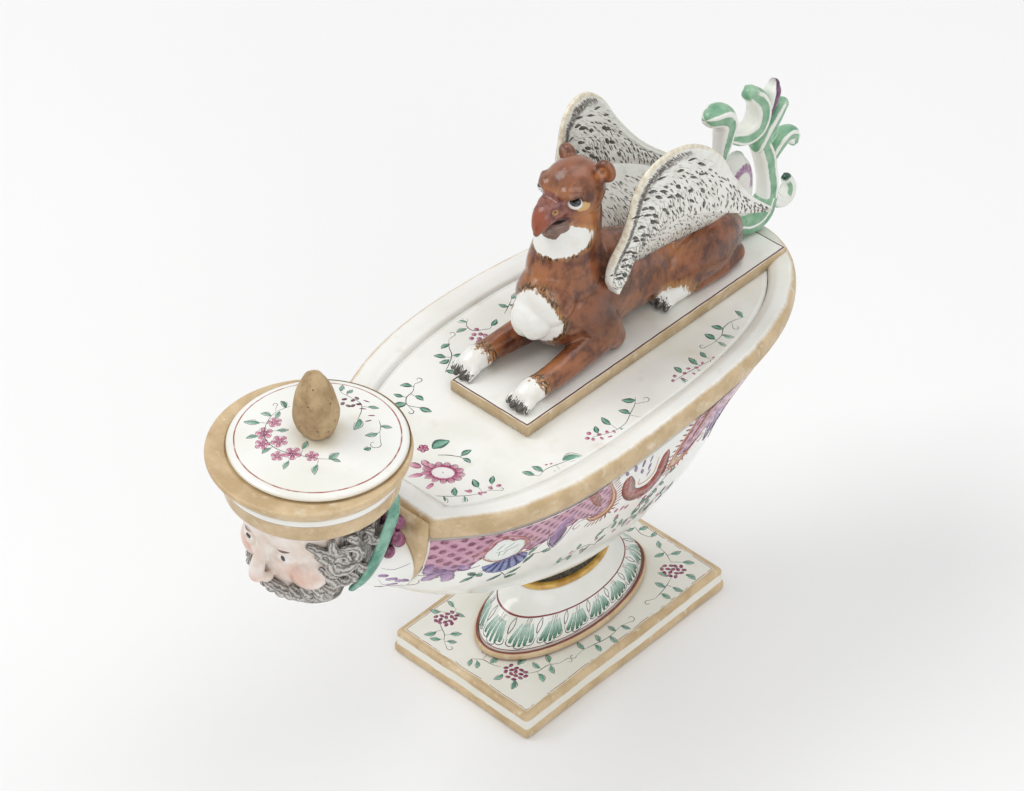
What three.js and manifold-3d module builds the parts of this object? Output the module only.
// An ornamental porcelain lamp shaped like an antique oil lamp, in millimetres with +Z up.
// A boat-shaped oil bowl stands on an oval foot and a plinth. The spout ends in a mask head under
// a lidded cup at -Y, a winged griffin lies on the deck, and a scrolled handle rises at +Y.
// The origin is the centre of the plinth's underside.
import * as THREE from 'three';
import { mergeVertices } from 'three/addons/utils/BufferGeometryUtils.js';
import Module from 'manifold-3d';

const wasm = await Module();
wasm.setup();

// Driving dimensions.
const GAP = 0.3;                       // joint between two pieces that touch
const PLINTH_WIDTH = 61.6;
const PLINTH_LENGTH = 100;
const PLINTH_HEIGHT = 9.5;
const PLINTH_STEP = 0.65;              // the lower tier stands out by this much
const FOOT_WIDTH = 20.2;               // half-width and half-length of the foot's gilt ring
const FOOT_LENGTH = 38;
const FOOT_TOP = 29;
const BOWL_BOTTOM = 35.4;
const BOWL_TOP = 108.7;
const RIM_TOP = 117.4;
const RIM_WIDTH = 51;                  // half-width of the rim
const RIM_REAR = 91.1;                 // rear and front half-lengths, from the deck's middle
const RIM_FRONT = 107.5;
const DECK_MIDDLE = 8;                 // where the rim is widest
const BOW = -86.4;                     // the rim is cut square here, in front of the spout
const BOWL_WALL = 3.6;
const DISH_LEVEL = 115;
const DISH_INSET = 10.2;               // rim edge to dish
const SLAB_TOP = 119.3;
const SLAB_HALF = 16.8;
const SLAB_FRONT = -35.4;
const SLAB_REAR = 91.5;
const CUP_MIDDLE = -109.1;             // axis of the lidded cup
const CUP_BASE = 134.3;
const CUP_TOP = 149.6;
const WELL_RADIUS = 21.6;
const LID_RADIUS = 27.6;
const FINIAL_HEIGHT = 22;
const LID_CROWN = 3.9;                // the dome's height above the seat
const DUCT_RADIUS = 4;                 // oil way from the bowl to the cup's well
const DUCT_HEIGHT = 104;
const BAND_DEPTH = 3.6;                // gilt band across the bow
const NECK_FRONT = -101;

const X_AXIS = new THREE.Vector3(1, 0, 0);
const Z_AXIS = new THREE.Vector3(0, 0, 1);
const point = (x, y, z) => new THREE.Vector3(x, y, z);

// Glaze, gilding and enamel colours.
const WHITE = [0xebe9e2, 0.16];
const GILT = [0xb99e6a, 0.42];
const CHESTNUT = [0x7a3d22, 0.18];
const GREEN = [0x6fae90, 0.2];
const FEATHER = [0xd9d6cc, 0.25];
const PURPLE = [0x7d4668, 0.2];
const BISCUIT = [0xb39a70, 0.7];
const CEMENT = [0x3b362d, 0.85];
const SKIN = [0xe9dcd2, 0.2];
const HAIR = [0x8d8a88, 0.25];
const BEAK = [0x5f2a22, 0.2];

// Geometry helpers.

// Drops flat triangles, and turns the faces outwards when the body is inside out.
function tidy(geometry) {
  const bare = new THREE.BufferGeometry();
  bare.setAttribute('position', geometry.getAttribute('position'));
  bare.setIndex(geometry.getIndex());
  const merged = mergeVertices(bare, 1e-4);
  const place = merged.getAttribute('position');
  const from = merged.getIndex().array;
  const index = [];
  let volume = 0;
  for (let i = 0; i < from.length; i += 3) {
    const [a, b, c] = [from[i], from[i + 1], from[i + 2]];
    if (a === b || b === c || c === a) continue;
    index.push(a, b, c);
    const [p, q, r] = [a, b, c].map((k) => new THREE.Vector3().fromBufferAttribute(place, k));
    volume += p.dot(q.cross(r));
  }
  merged.setIndex(volume < 0 ? index.reverse() : index);
  return merged;
}

// A closed body from rings of points with equal counts. Fans close its ends, unless it loops.
function skin(rings, loop = false) {
  const count = rings[0].length;
  const points = rings.flat();
  const index = [];
  const spans = loop ? rings.length : rings.length - 1;
  for (let j = 0; j < spans; j += 1) {
    const here = j * count;
    const next = ((j + 1) % rings.length) * count;
    for (let i = 0; i < count; i += 1) {
      const k = (i + 1) % count;
      index.push(here + i, here + k, next + k, here + i, next + k, next + i);
    }
  }
  if (!loop) {
    const last = (rings.length - 1) * count;
    const ends = [rings[0], rings[rings.length - 1]];
    const [first, final] = ends.map((ring) => {
      const middle = ring.reduce((sum, p) => sum.add(p), point(0, 0, 0));
      return points.push(middle.divideScalar(count)) - 1;
    });
    for (let i = 0; i < count; i += 1) {
      const k = (i + 1) % count;
      index.push(first, k, i, final, last + i, last + k);
    }
  }
  const geometry = new THREE.BufferGeometry().setFromPoints(points);
  geometry.setIndex(index);
  return tidy(geometry);
}

// A solid that can be cut and joined.
function solid(geometry) {
  const clean = tidy(geometry);
  return new wasm.Manifold(new wasm.Mesh({
    numProp: 3,
    vertProperties: new Float32Array(clean.getAttribute('position').array),
    triVerts: new Uint32Array(clean.getIndex().array),
  }));
}

// The largest single body of a solid, as a geometry.
function shape(cutSolid) {
  const bodies = cutSolid.decompose().sort((a, b) => b.volume() - a.volume());
  const mesh = bodies[0].getMesh();
  const geometry = new THREE.BufferGeometry();
  geometry.setAttribute('position', new THREE.BufferAttribute(mesh.vertProperties, 3));
  geometry.setIndex(new THREE.BufferAttribute(mesh.triVerts, 1));
  return geometry;
}

// A solid less each of the others.
function cut(whole, ...others) {
  return others.reduce((rest, other) => rest.subtract(other), whole);
}

// A block between two corners.
function block(low, high) {
  const size = high.map((value, i) => value - low[i]);
  const middle = high.map((value, i) => (value + low[i]) / 2);
  return solid(new THREE.BoxGeometry(...size).translate(...middle));
}

// A round bar along Y, from y0 to y1.
function bar(radius, y0, y1, height, sides = 20) {
  const geometry = new THREE.CylinderGeometry(radius, radius, y1 - y0, sides);
  return solid(geometry.translate(0, (y0 + y1) / 2, height));
}

// An ellipsoid, grown by a margin.
function lump(middle, radii, { grow = 0, sides = 14, rows = 9 } = {}) {
  const geometry = new THREE.SphereGeometry(1, sides, rows).rotateX(Math.PI / 2);
  geometry.scale(...radii.map((r) => r + grow));
  return solid(geometry.translate(...middle));
}

// The turns, in degrees, of the two rings that round off a limb's end.
const CAP_TURNS = [66, 33];

// Ellipses square to a smooth path, with rounded ends. A station is a place with a half-width
// along the side axis and a half-depth across it.
function limb(stations, { grow = 0, sides = 12, steps = 1, side = X_AXIS, rounding = 1 } = {}) {
  const path = new THREE.CatmullRomCurve3(stations.map((s) => point(s[0], s[1], s[2])));
  const sizes = new THREE.CatmullRomCurve3(stations.map((s) => point(s[3], s[4], 0)));
  const spans = steps * (stations.length - 1);
  const ring = (middle, tangent, wide, deep) => {
    const across = new THREE.Vector3().crossVectors(tangent, side).normalize();
    const along = new THREE.Vector3().crossVectors(across, tangent).normalize();
    return Array.from({ length: sides }, (_, i) => {
      const angle = (i / sides) * 2 * Math.PI;
      return middle.clone()
        .addScaledVector(along, (wide + grow) * Math.cos(angle))
        .addScaledVector(across, (deep + grow) * Math.sin(angle));
    });
  };
  const end = (t, sense) => CAP_TURNS.map((degrees) => {
    const turn = THREE.MathUtils.degToRad(degrees);
    const size = sizes.getPoint(t);
    const tangent = path.getTangent(t);
    const reach = sense * rounding * (size.y + grow) * Math.sin(turn);
    const middle = path.getPoint(t).addScaledVector(tangent, reach);
    return ring(middle, tangent, size.x * Math.cos(turn), size.y * Math.cos(turn));
  });
  const rings = [...end(0, -1)];
  for (let i = 0; i <= spans; i += 1) {
    const t = i / spans;
    const size = sizes.getPoint(t);
    rings.push(ring(path.getPoint(t), path.getTangent(t), size.x, size.y));
  }
  rings.push(...end(1, 1).reverse());
  return solid(skin(rings));
}

// A limb's stations on the other side of the lamp.
const mirrored = (stations) => stations.map(([x, ...rest]) => [-x, ...rest]);

// Points round an oval in plan.
function oval(halfWidth, halfLength, height, { sides = 34, middle = 0 } = {}) {
  return Array.from({ length: sides }, (_, i) => {
    const angle = (i / sides) * 2 * Math.PI;
    return point(halfWidth * Math.sin(angle), middle + halfLength * Math.cos(angle), height);
  });
}

const root = new THREE.Group();

// Adds one named mesh to a group, with its own glaze.
function piece(group, name, body, [color, roughness]) {
  const geometry = body.isBufferGeometry ? body : shape(body);
  geometry.computeVertexNormals();
  const material = new THREE.MeshStandardMaterial({ color, roughness, metalness: 0 });
  const mesh = new THREE.Mesh(geometry, material);
  mesh.name = name;
  group.add(mesh);
}

// Adds a group for one part of the lamp.
function section() {
  const group = new THREE.Group();
  root.add(group);
  return group;
}

// Pedestal: a two-tier plinth, and an oval foot with a gilt ring below and a gilt collar above.
const pedestal = section();

// A rounded rectangle, four points to a corner.
function plinthRing(halfWidth, halfLength, height, corner) {
  const ring = [];
  for (let quarter = 0; quarter < 4; quarter += 1) {
    const sx = quarter === 0 || quarter === 3 ? 1 : -1;
    const sy = quarter < 2 ? 1 : -1;
    for (let i = 0; i < 4; i += 1) {
      const angle = (quarter + i / 3) * (Math.PI / 2);
      ring.push(point(
        sx * (halfWidth - corner) + corner * Math.cos(angle),
        sy * (halfLength - corner) + corner * Math.sin(angle),
        height,
      ));
    }
  }
  return ring;
}

const tier = (grow, height, corner) => plinthRing(
  PLINTH_WIDTH / 2 + grow,
  PLINTH_LENGTH / 2 + grow,
  height,
  corner,
);
piece(pedestal, 'plinth', skin([
  tier(PLINTH_STEP - 0.8, 0, 1.2),
  tier(PLINTH_STEP, 0.8, 1.6),
  tier(PLINTH_STEP, 3.1, 1.6),
  tier(0, 3.9, 1.5),
  tier(0, 8.6, 1.5),
  tier(-0.9, PLINTH_HEIGHT, 1.2),
]), WHITE);

const footBase = PLINTH_HEIGHT + GAP;
piece(pedestal, 'foot_ring', skin([
  oval(18.6, 36.4, footBase),
  oval(FOOT_WIDTH - 0.4, FOOT_LENGTH - 0.4, footBase),
  oval(FOOT_WIDTH, FOOT_LENGTH, footBase + 1.2),
  oval(FOOT_WIDTH - 0.5, FOOT_LENGTH - 0.5, footBase + 2.4),
  oval(18.6, 36.4, footBase + 2.9),
], true), GILT);

// The foot is a shell, open below: a round shoulder, then a hollow neck.
const footProfile = [
  [18.2, 36, footBase], [18.2, 36, 13], [17.9, 34.4, 16], [17.2, 31.2, 19.4], [15.8, 27, 22.4],
  [14.2, 23.6, 24.4], [12.9, 21.2, 26.6], [12.1, 19.8, FOOT_TOP],
];
piece(pedestal, 'foot', skin([
  ...footProfile.map(([w, l, z]) => oval(w, l, z)),
  oval(7.6, 15.2, FOOT_TOP),
  oval(7.8, 16, 25),
  oval(11, 21, 21),
  oval(14, 30, 15),
  oval(14.4, 32, footBase),
], true), WHITE);

piece(pedestal, 'foot_collar', skin([
  oval(7.8, 15.4, FOOT_TOP + GAP),
  oval(12.1, 19.8, FOOT_TOP + GAP),
  oval(12.5, 20.2, 30.2),
  oval(12, 19.7, 31.2),
  oval(7.8, 15.4, 31.2),
], true), GILT);

piece(pedestal, 'joint_bedding', skin([
  oval(5, 11, 31.5),
  oval(10.8, 18.2, 31.5),
  oval(9.6, 16.2, BOWL_BOTTOM - GAP),
  oval(5, 11, BOWL_BOTTOM - GAP),
], true), CEMENT);

// Bowl: a boat-shaped shell under a gilt rim, closed by a shallow dish.
const bowl = section();

// A smooth window: 1 at its middle, 0 from its two ends on.
function bump(value, middle, before, after) {
  const share = (value - middle) / (value < middle ? before : after);
  return Math.cos((Math.PI / 2) * THREE.MathUtils.clamp(share, -1, 1)) ** 2;
}

// The bowl is a little out of true, as hand-pressed ware is. Its left side is fuller near the bow
// and flatter behind the middle, and its right side is fuller before the middle. The change is in
// millimetres at the rim, and inner points move in proportion.
const LEFT_SWELL = 2.2;
const LEFT_FLAT = 4.6;
const RIGHT_SWELL = 2.5;
function outOfTrue(x, y, z, strength = 1) {
  const length = y < DECK_MIDDLE ? RIM_FRONT : RIM_REAR;
  const half = RIM_WIDTH * Math.sqrt(Math.max(0.1, 1 - ((y - DECK_MIDDLE) / length) ** 2));
  const change = x > 0
    ? LEFT_SWELL * bump(y, -66, 20, 42) - LEFT_FLAT * bump(y, 12, 60, 86)
    : RIGHT_SWELL * bump(y, -36, 50, 66);
  return point(x * (1 + (strength * change) / half), y, z);
}

// Half-width, front and rear lengths and middle of the hull's oval at a height. The powers set how
// soon each size opens out above the foot.
function hullSize(height) {
  const rise = Math.min(1, (height - BOWL_BOTTOM) / (BOWL_TOP - BOWL_BOTTOM));
  const spread = 1 - (1 - rise) ** 1.96;
  return {
    half: 9.4 + 40.8 * rise ** 0.7,
    front: 15.7 + 91.4 * spread ** 0.95,
    rear: 15.7 + 75.3 * spread ** 0.9,
    middle: DECK_MIDDLE * rise,
    rise,
  };
}

// Round the stern the hull draws in under the rim, most at three quarters of its height. The hollow
// is full up to HOLLOW_TURN from the stern, as an angle, and fades out before the boat's middle.
const STERN_HOLLOW = 8;
const HOLLOW_TURN = 0.6;
const HOLLOW_FADE = 0.95;

function hullRing(height, wall = 0, sides = 36) {
  const { half, front, rear, middle, rise } = hullSize(height);
  const hollow = STERN_HOLLOW * bump(rise, 0.75, 0.45, 0.4);
  return Array.from({ length: sides }, (_, i) => {
    const angle = (i / sides) * 2 * Math.PI;
    const astern = Math.max(HOLLOW_TURN, Math.min(angle, 2 * Math.PI - angle));
    const inset = wall + hollow * bump(astern, HOLLOW_TURN, 1, HOLLOW_FADE);
    const length = (Math.cos(angle) < 0 ? front : rear) - inset;
    const along = middle + length * Math.cos(angle);
    return outOfTrue((half - inset) * Math.sin(angle), along, height, rise ** 1.8);
  });
}

const hullLevels = [0, 0.03, 0.08, 0.17, 0.3, 0.45, 0.6, 0.75, 0.88, 1];
const levelHeight = (rise) => BOWL_BOTTOM + rise * (BOWL_TOP - BOWL_BOTTOM);
const hullOutside = solid(skin(hullLevels.map((rise) => hullRing(levelHeight(rise)))));
const cavityLevels = [0.08, 0.2, 0.4, 0.55, 0.7, 0.85, 1.02];
const hullCavity = solid(skin(cavityLevels.map((rise) => hullRing(levelHeight(rise), BOWL_WALL))));
const behind = (y) => block([-80, y, 0], [80, 200, 200]);
const duct = bar(DUCT_RADIUS, -120, -70, DUCT_HEIGHT);
piece(bowl, 'bowl_hull', cut(
  hullOutside.intersect(behind(BOW)),
  hullCavity.intersect(behind(BOW + BOWL_WALL)),
  duct,
), WHITE);

// The rim's outline in plan, drawn in by an inset and cut square at the bow.
function deckRing(inset, height, sides = 42) {
  const [half, front, rear] = [RIM_WIDTH, RIM_FRONT, RIM_REAR].map((size) => size - inset);
  const bow = Math.acos((BOW + inset - DECK_MIDDLE) / front);
  return Array.from({ length: sides }, (_, i) => {
    const angle = -bow + (i / (sides - 1)) * 2 * bow;
    const length = Math.cos(angle) < 0 ? front : rear;
    return outOfTrue(half * Math.sin(angle), DECK_MIDDLE + length * Math.cos(angle), height);
  });
}

const rimProfile = [
  [1.4, BOWL_TOP + GAP], [0.2, 110.6], [0, 113.4], [0.4, 116.2], [2, RIM_TOP], [6.5, 117.2],
  [9.2, 116], [DISH_INSET - GAP, DISH_LEVEL], [DISH_INSET - GAP, 110.6], [5.6, BOWL_TOP + GAP],
];
const slabSeat = block(
  [-SLAB_HALF - GAP, SLAB_FRONT - GAP, DISH_LEVEL - 0.2],
  [SLAB_HALF + GAP, SLAB_REAR + GAP, 130],
);
piece(bowl, 'bowl_rim', cut(
  solid(skin(rimProfile.map(([inset, z]) => deckRing(inset, z)), true)),
  slabSeat,
), GILT);

piece(bowl, 'dish', skin([
  deckRing(DISH_INSET + 6, 110.9),
  deckRing(DISH_INSET, 110.9),
  deckRing(DISH_INSET, DISH_LEVEL - 0.1),
  deckRing(DISH_INSET + 2, DISH_LEVEL - 0.3),
]), WHITE);

// The slab under the griffin, with a soft top edge.
const slabRing = (inset, height) => [
  point(-SLAB_HALF + inset, SLAB_FRONT + inset, height),
  point(SLAB_HALF - inset, SLAB_FRONT + inset, height),
  point(SLAB_HALF - inset, SLAB_REAR - inset, height),
  point(-SLAB_HALF + inset, SLAB_REAR - inset, height),
];
piece(bowl, 'griffin_slab', skin([
  slabRing(0, DISH_LEVEL + GAP - 0.1),
  slabRing(0, SLAB_TOP - 0.4),
  slabRing(0.4, SLAB_TOP),
]), WHITE);

// Griffin: a lying lion's body with an eagle's beak and wings.
const griffin = section();
const aboveSlab = block([-60, -100, SLAB_TOP + GAP], [60, 130, 260]);

const torsoStations = [
  [-0.6, -13, 142.6, 7.4, 9], [-0.6, -7, 142, 10.6, 14.6], [-0.4, 2, 141, 12, 18],
  [0, 12, 140, 12, 19], [0, 24, 137.4, 10.6, 17.2], [0, 38, 132.6, 9.6, 12.6],
  [0, 54, 130.6, 9.4, 11], [0, 67, 128.6, 9, 9.6], [0, 76, 125.4, 6.4, 6.4],
];
const torsoSpace = limb(torsoStations, { sides: 18, grow: GAP });
piece(griffin, 'griffin_torso', limb(torsoStations, { sides: 18 }).intersect(aboveSlab), CHESTNUT);

const headMiddle = [0, 3.4, 183.6];
const headRadii = [9.6, 10.6, 10];
piece(griffin, 'griffin_head', lump(headMiddle, headRadii), CHESTNUT);
const headSpace = lump(headMiddle, headRadii, { grow: GAP });

const neckStations = [
  [-0.5, 1, 150, 11.4, 16.6], [-0.4, 0.4, 158, 10.4, 14.4], [-0.2, 1.4, 166, 9.4, 12],
  [0, 2.8, 174, 8.8, 10.4], [0, 3.4, 180, 7.8, 8.6],
];
const neckSpace = limb(neckStations, { grow: GAP, rounding: 0.4 });
piece(griffin, 'griffin_neck', cut(
  limb(neckStations, { rounding: 0.4 }),
  torsoSpace,
  headSpace,
), CHESTNUT);

const upperBeak = [
  [0, -4.4, 180.8, 5.6, 4.4], [0, -9.4, 180.2, 4.6, 3.8], [0, -12.6, 177.4, 2.8, 2.6],
  [0, -13.6, 174.8, 1.1, 1.2],
];
const lowerBeak = [[0, -4, 175.6, 5.4, 2.4], [0, -7.6, 174.2, 4, 1.8], [0, -10.4, 173.4, 1.9, 1]];
piece(griffin, 'griffin_upper_beak', cut(
  limb(upperBeak),
  headSpace,
  neckSpace,
), BEAK);
piece(griffin, 'griffin_lower_beak', cut(
  limb(lowerBeak),
  limb(upperBeak, { grow: GAP }),
  headSpace,
  neckSpace,
), BEAK);

const ears = { left: [8.2, 8.8, 190.8], right: [-7.8, 8.8, 189.2] };
const earRadii = [3.7, 2.4, 3.8];
const forelegs = {
  left: [
    [8.8, 9, 126.4, 4.6, 6.4], [9.4, 3, 126.4, 4.6, 6.4], [9.8, -5, 125.6, 4.2, 5.6],
    [9.8, -14, 124.6, 3.9, 4.8], [9.4, -21.5, 124, 3.8, 4.4],
  ],
  right: [
    [-9.4, 7, 126.4, 4.6, 6.4], [-10.6, 1, 126.4, 4.6, 6.4], [-12, -7, 125.6, 4.2, 5.6],
    [-13.4, -15, 124.6, 3.9, 4.8], [-14.4, -22, 124, 3.8, 4.4],
  ],
};
const forepaws = {
  left: [[9.2, -21, 123.6, 4.4, 4.2], [8.9, -26.5, 123.2, 4.7, 4], [8.8, -30, 122.2, 4, 2.9]],
  right: [[-14.4, -21.6, 123.6, 4.4, 4.2], [-15, -27, 123.2, 4.7, 4], [-15.2, -30.4, 122.2, 4, 2.9]],
};
const haunchRadii = [7.2, 20.6, 12.4];
const haunch = (sign, grow = 0) => lump([sign * 6.6, 57.4, 130], haunchRadii, { grow });
const shank = [[9, 73.6, 123, 3.4, 3.8], [10, 64, 123, 3.4, 3.7], [9.4, 53, 123, 3.4, 3.6]];
const hindPaw = [[8, 49, 123.4, 4.4, 4.2], [7.2, 43, 123.4, 4.8, 4.2], [6.8, 38.6, 122.4, 4.2, 3.2]];

for (const [sideName, flip] of [['left', (s) => s], ['right', mirrored]]) {
  const sign = sideName === 'left' ? 1 : -1;
  const pawSpace = limb(forepaws[sideName], { grow: GAP });
  const hindPawSpace = limb(flip(hindPaw), { grow: GAP });

  piece(griffin, `griffin_ear_${sideName}`, cut(
    lump(ears[sideName], earRadii, { sides: 12, rows: 8 }),
    headSpace,
  ), CHESTNUT);
  piece(griffin, `griffin_foreleg_${sideName}`, cut(
    limb(forelegs[sideName]).intersect(aboveSlab),
    torsoSpace,
    pawSpace,
  ), CHESTNUT);
  piece(griffin, `griffin_forepaw_${sideName}`, limb(forepaws[sideName]).intersect(aboveSlab), WHITE);
  piece(griffin, `griffin_haunch_${sideName}`, cut(
    haunch(sign).intersect(aboveSlab),
    torsoSpace,
    hindPawSpace,
  ), CHESTNUT);
  piece(griffin, `griffin_shank_${sideName}`, cut(
    limb(flip(shank)).intersect(aboveSlab),
    haunch(sign, GAP),
    torsoSpace,
    hindPawSpace,
  ), CHESTNUT);
  piece(griffin, `griffin_hindpaw_${sideName}`, cut(
    limb(flip(hindPaw)).intersect(aboveSlab),
    torsoSpace,
  ), WHITE);
}

// The tail leaves the rump and lies forward along the right haunch.
const tail = [
  [0, 82, 123.4, 2.2, 2.2], [-6, 83.4, 122.4, 2, 2], [-12, 79, 121.8, 1.9, 1.9],
  [-14.6, 70, 121.7, 1.8, 1.8], [-14.8, 60, 121.8, 2.2, 2.1], [-14.4, 54, 121.6, 1.2, 1.2],
];
const tailSpace = limb(tail, { side: Z_AXIS, sides: 8, grow: GAP });
piece(griffin, 'griffin_tail', cut(
  limb(tail, { side: Z_AXIS, sides: 8 }).intersect(aboveSlab),
  torsoSpace,
  haunch(-1, GAP),
  limb(mirrored(shank), { grow: GAP }),
), CHESTNUT);

// A wing is a curved plate between an upper and a lower edge, from its root to its rear tip. The
// edges are places along Y and Z, and the plate leans outwards with both. The two wings were shaped
// by hand, so their upper edges differ.
const wingUpper = {
  left: [
    [7.4, 147], [4.4, 153], [4.8, 160], [8.6, 168], [10.8, 177], [11.6, 185], [15, 191.4], [22, 195.2],
    [32, 194.8], [41, 190], [49, 182.4], [57, 169.6], [67.5, 155.5], [79, 144.4],
  ],
  right: [
    [7.6, 147], [6, 153], [9, 163], [13.6, 173], [16.6, 183], [19.4, 191], [24.4, 195.2], [31, 195.2],
    [38.6, 189.6], [46, 178], [56, 165], [68.5, 153.2], [79, 145],
  ],
};
const wingLower = [
  [8.6, 147], [12.2, 150], [14.4, 156], [18.4, 160.5], [23, 162.6], [28, 163.6], [34, 164],
  [42, 160.8], [50, 157.2], [59, 152.4], [68, 147.4], [77.6, 143.2],
];
const wingOut = (y, z) => 13.4 + 0.11 * (z - 145) + 0.08 * (y - 8);
const WING_SPANS = 18;
const WING_TIP = 1.3;                  // half-thickness at the tip, and what the root adds

function wing(sideName, sign) {
  const edge = (places) => new THREE.CatmullRomCurve3(places.map(([y, z]) => point(0, y, z)));
  const [upper, lower] = [wingUpper[sideName], wingLower].map(edge);
  const rings = [];
  for (let j = 0; j <= WING_SPANS; j += 1) {
    const t = j / WING_SPANS;
    const [top, bottom] = [upper.getPoint(t), lower.getPoint(t)];
    const middle = top.clone().add(bottom).divideScalar(2);
    const half = top.clone().sub(bottom).divideScalar(2);
    const thick = WING_TIP + WING_TIP * (1 - t);
    rings.push(Array.from({ length: 12 }, (_, i) => {
      const angle = (i / 12) * 2 * Math.PI;
      const p = middle.clone().addScaledVector(half, Math.cos(angle));
      const bow = Math.sign(Math.sin(angle)) * Math.abs(Math.sin(angle)) ** 0.6;
      return point(sign * (wingOut(p.y, p.z) + thick * bow), p.y, p.z);
    }));
  }
  return solid(skin(rings));
}

// A web joins the wing's inner face to the griffin's back.
function wingWeb(sign) {
  const spans = [
    // along Y, low edge height, high edge height, thickness
    [9, 148, 157, 1.6], [15, 148, 160, 2], [22, 147, 165, 2], [30, 146, 166.5, 1.8],
    [38, 145, 165, 1.5], [44, 144, 162.5, 1.2], [52, 144, 158, 1.1], [60, 144.5, 153, 0.9],
  ];
  const rings = spans.map(([y, low, high, thick]) => Array.from({ length: 10 }, (_, i) => {
    const angle = (i / 10) * 2 * Math.PI;
    const z = (low + high) / 2 + ((high - low) / 2) * Math.cos(angle);
    const lean = (z - low) / (high - low);
    const x = THREE.MathUtils.lerp(8.4, wingOut(y, high) - 1, lean) + thick * Math.sin(angle);
    return point(sign * x, y, z);
  }));
  return solid(skin(rings));
}

for (const [sideName, sign] of [['left', 1], ['right', -1]]) {
  piece(griffin, `griffin_wing_${sideName}`, cut(
    wing(sideName, sign).add(wingWeb(sign)),
    torsoSpace,
    neckSpace,
    haunch(sign, GAP),
  ), FEATHER);
}

// Handle: leafy scrolls in the middle plane, built on a stem that stands on the slab's rear end.
// Each scroll is cut clear of the ones named before it.
const handle = section();
const scrolls = [
  ['handle_base', GREEN, [
    [0, 81, 127.6, 2.4, 2.2], [0, 84.6, 124.2, 4.2, 3.4], [0, 91, 122.6, 5, 3.6],
    [0, 97.2, 123.4, 4.2, 3.6], [0, 100, 127, 3.2, 3.2],
  ]],
  ['handle_stem', GREEN, [
    [0, 100.3, 127.4, 3.2, 3.2], [0, 100.6, 133, 3.1, 3], [0, 99.4, 139, 3.1, 3],
    [0, 98.2, 145, 3.2, 3.1], [0, 96, 151, 3.2, 3],
  ]],
  ['handle_crescent', GREEN, [
    [0, 80.6, 161.6, 2.4, 2], [0, 86, 159.6, 3.3, 2.8], [0, 91.4, 160.4, 3.6, 3.2],
    [0, 94.2, 164.6, 3.6, 3.3], [0, 93.4, 171, 3.3, 3.1], [0, 89.6, 175, 2.6, 2.4],
  ]],
  ['handle_front_leaf', GREEN, [
    [0, 69.6, 175.6, 3, 2.6], [0, 74, 175.2, 4, 3.6], [0, 77.6, 170.8, 3.4, 3.2],
    [0, 76.6, 165, 2.6, 2.5], [0, 75.6, 159.6, 1.8, 1.6],
  ]],
  ['handle_diagonal_leaf', GREEN, [
    [0, 95.6, 152.6, 3, 2.6], [0, 98.4, 156.6, 2.8, 2.4], [0, 102.6, 160, 2.6, 2.2],
    [0, 106.4, 162.4, 2, 1.8],
  ]],
  ['handle_bud', PURPLE, [
    [0, 98.8, 163.2, 1.4, 1.2], [0, 99.8, 167, 2.4, 2], [0, 101, 171, 2.4, 2],
    [0, 101.2, 173.2, 1.6, 1.4],
  ]],
  ['handle_middle_leaf', GREEN, [
    [0, 101.4, 144.6, 2.6, 2.2], [0, 104.8, 147.4, 2.6, 2.2], [0, 108.8, 149.2, 2.6, 2.2],
    [0, 112.6, 147.4, 2.4, 2], [0, 113.8, 143.8, 1.8, 1.5],
  ]],
  ['handle_low_curl', GREEN, [
    [0, 104.2, 124.4, 2.2, 2], [0, 107.4, 121.2, 2.6, 2.2], [0, 111.2, 121.8, 2.5, 2.1],
    [0, 113, 125.4, 2.3, 1.9], [0, 111.4, 129, 2, 1.7],
  ]],
  ['handle_lobe', WHITE, [
    [0, 86.6, 129.4, 2.2, 4], [0, 85.4, 136, 2.6, 5.8], [0, 83.8, 143.4, 2.6, 6.8],
    [0, 81.6, 150, 2, 4.6],
  ]],
];
const beforeScrolls = [torsoSpace, tailSpace];
for (const [name, glaze, stations] of scrolls) {
  const body = cut(limb(stations, { sides: 10, steps: 2 }).intersect(aboveSlab), ...beforeScrolls);
  piece(handle, name, body, glaze);
  beforeScrolls.push(limb(stations, { sides: 10, steps: 2, grow: GAP }));
}

// Spout: a gilt band across the bow, a short neck, a mask head and a cup with a flared brim.
const spout = section();

// The hull's cross-section at the bow, carried up to the rim's height, as a ring of points.
function bowSection(y, halfWidth, keel, top) {
  const side = Array.from({ length: 9 }, (_, i) => {
    const t = i / 8;
    return [halfWidth * Math.sin((t * Math.PI) / 2) ** 0.8, keel + (top - keel) * t ** 1.6];
  });
  const left = side.map(([x, z]) => point(x, y, z));
  const right = side.slice(1).reverse().map(([x, z]) => point(-x, y, z));
  return [...left, ...right];
}

const bowBand = solid(skin([
  bowSection(BOW - GAP, 23.8, 79, 116.6),
  bowSection(BOW - 2.2, 23.3, 79.8, 116.2),
  bowSection(BOW - BAND_DEPTH, 21.9, 81, 115.2),
]));
const headPlaces = [
  // height, middle, half-width, half-depth
  [98.6, -110.6, 6, 7], [101, -110.8, 11.4, 13], [105, -111, 15.2, 18], [110, -111.2, 17.8, 20.6],
  [116, -111.4, 19.2, 22], [123, -111.6, 20, 22.6], [129, -111.8, 21.6, 23.6],
  [CUP_BASE - GAP, -112, 24.4, 25],
];
const headBody = (grow) => solid(skin(headPlaces.map(
  ([z, middle, w, d]) => oval(w + grow, d + grow, z, { sides: 28, middle }),
)));
const maskSpace = headBody(GAP);
const wellFloor = 102.5;
const well = solid(skin([
  oval(13, 13, wellFloor, { sides: 28, middle: CUP_MIDDLE }),
  oval(15, 15, CUP_BASE + 1, { sides: 28, middle: CUP_MIDDLE }),
]));
piece(spout, 'mask_head', cut(headBody(0), well, duct), SKIN);
piece(spout, 'bow_band', cut(bowBand, duct, maskSpace), GILT);

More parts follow.
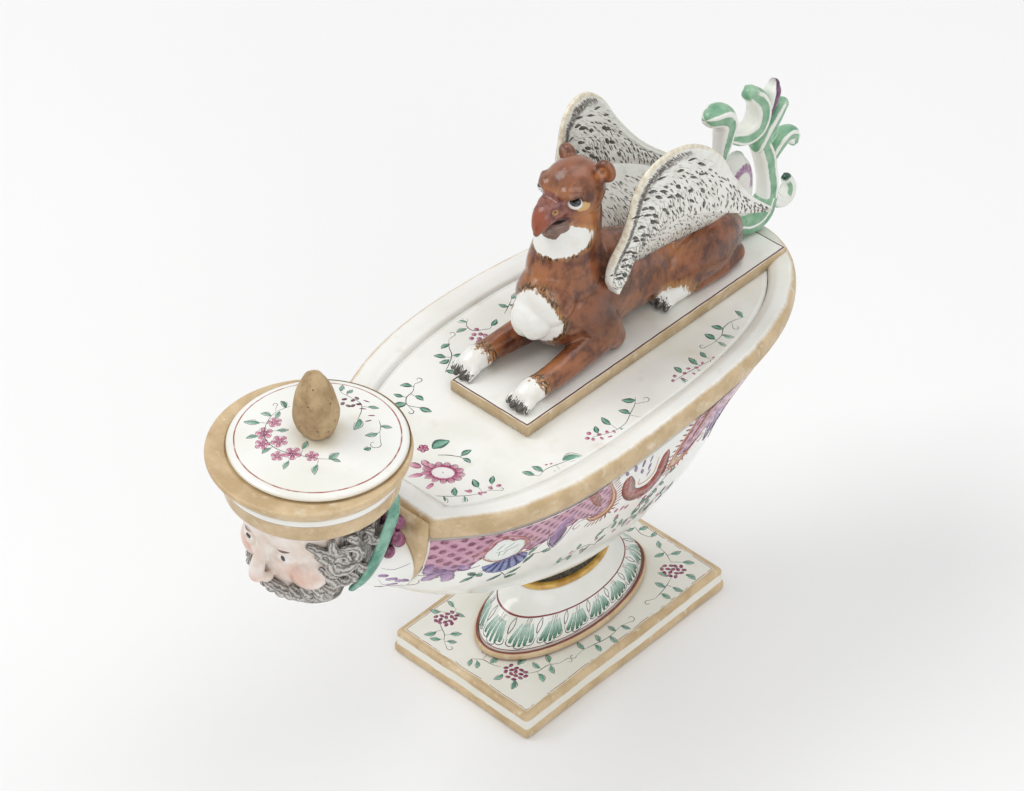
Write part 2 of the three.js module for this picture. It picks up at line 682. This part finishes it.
const NECK_PLACES = [
  // along Y, half-width, lowest and highest point
  [BOW - BAND_DEPTH - GAP, 20.5, 81.4, 115], [-95, 19.4, 84.6, 118.4], [NECK_FRONT, 18.4, 88.6, 121],
];
const neckRing = (y, halfWidth, low, high) => Array.from({ length: 24 }, (_, i) => {
  const angle = (i / 24) * 2 * Math.PI;
  const middle = (low + high) / 2;
  return point(halfWidth * Math.sin(angle), y, middle + ((high - low) / 2) * Math.cos(angle));
});
const neckBody = (grow) => solid(skin(NECK_PLACES.map(
  ([y, halfWidth, low, high]) => neckRing(y, halfWidth + grow, low - grow, high + grow),
)));
piece(spout, 'spout_neck', cut(neckBody(0), maskSpace, duct), WHITE);

const beard = [
  [0, -102, 97.6, 8.6, 3], [0, -109, 98.4, 11, 3.6], [0, -117, 101, 11.6, 4.4],
  [0, -124.4, 105.4, 10.2, 4], [0, -128.8, 110, 6.6, 2.4],
];
const beardRear = -104.9;
piece(spout, 'mask_beard', cut(limb(beard), maskSpace, behind(beardRear)), HAIR);

for (const [sideName, sign] of [['left', 1], ['right', -1]]) {
  const ribbon = [
    [sign * 19.4, -98.4, 128, 1.4, 1.9], [sign * 20.2, -102, 121, 1.4, 1.9],
    [sign * 20, -106.6, 113, 1.4, 1.9], [sign * 17.6, -109.6, 104, 1.4, 1.8],
  ];
  const hair = lump([sign * 18.6, -114, 122], [4.4, 10, 8.6]);
  const grapes = lump([sign * 17.4, -96.6, 114], [4, 3.8, 6.4], { sides: 12, rows: 8 });
  const ribbonSpace = limb(ribbon, { grow: GAP, sides: 10 });
  piece(spout, `mask_ribbon_${sideName}`, cut(limb(ribbon, { sides: 10 }), maskSpace), GREEN);
  piece(spout, `mask_hair_${sideName}`, cut(hair, maskSpace, ribbonSpace), HAIR);
  piece(spout, `spout_grapes_${sideName}`, cut(
    grapes,
    maskSpace,
    ribbonSpace,
    neckBody(GAP),
  ), PURPLE);
}

// The cup is a headband under the brim, eccentric so that the brim stands out over the face.
const cupRing = (radius, height, middle) => oval(radius, radius, height, { sides: 32, middle });
const bandTop = CUP_BASE + 11;
piece(spout, 'spout_cup', skin([
  cupRing(25, CUP_BASE, -112),
  cupRing(27, CUP_BASE + 2.4, -112.2),
  cupRing(27.4, CUP_BASE + 7.6, -112.3),
  cupRing(28.6, bandTop, -112.4),
  cupRing(WELL_RADIUS + 1.2, bandTop, CUP_MIDDLE),
  cupRing(15.4, CUP_BASE + 2, CUP_MIDDLE),
  cupRing(15.4, CUP_BASE, CUP_MIDDLE),
], true), WHITE);

const brimBase = bandTop + GAP;
const lidSpace = new THREE.CylinderGeometry(LID_RADIUS + GAP, LID_RADIUS + GAP, 10, 32)
  .rotateX(Math.PI / 2).translate(0, CUP_MIDDLE, CUP_TOP + 5);
piece(spout, 'cup_brim', cut(solid(skin([
  cupRing(WELL_RADIUS + 1.2, brimBase, CUP_MIDDLE),
  cupRing(28.8, brimBase, -112.4),
  cupRing(30.8, CUP_TOP - 1.4, -112.7),
  cupRing(31.4, CUP_TOP + 0.2, -112.9),
  cupRing(30.8, CUP_TOP + 1.3, -112.9),
  cupRing(28.4, CUP_TOP + 0.4, -110.2),
  cupRing(27.6, CUP_TOP, CUP_MIDDLE),
  cupRing(WELL_RADIUS, CUP_TOP, CUP_MIDDLE),
], true)), solid(lidSpace)), GILT);

// Lid: a low disc with a locating ring below and a pine-cone finial on top. It lifts straight up.
const lid = section();
lid.position.set(0, CUP_MIDDLE, CUP_TOP + GAP);

// A turned shape from its profile of radius and height, closed on itself or on the axis.
const turned = (profile, sides) => tidy(new THREE.LatheGeometry(
  profile.map(([radius, height]) => new THREE.Vector2(radius, height)),
  sides,
).rotateX(Math.PI / 2));
const lidProfile = [
  [0, 0.6], [19.4, 0.6], [19.4, -3.6], [20.6, -3.6], [20.9, 0], [27.2, 0], [LID_RADIUS, 0.5],
  [27.4, 1], [26.6, 1.5], [25.4, 1.8], [18, 2.9], [7, 3.7], [0, LID_CROWN],
];
piece(lid, 'lid', turned(lidProfile, 32), WHITE);
const finialFoot = LID_CROWN + GAP;
const finialProfile = [
  [0, 0], [4.4, 0], [6.1, 2.6], [7.2, 6.5], [7, 10.9], [5.6, 15.8], [3.4, 19.9], [1.4, 21.8],
  [0, FINIAL_HEIGHT],
].map(([radius, height]) => [radius, height + finialFoot]);
piece(lid, 'lid_finial', turned(finialProfile, 18), BISCUIT);

export default root;
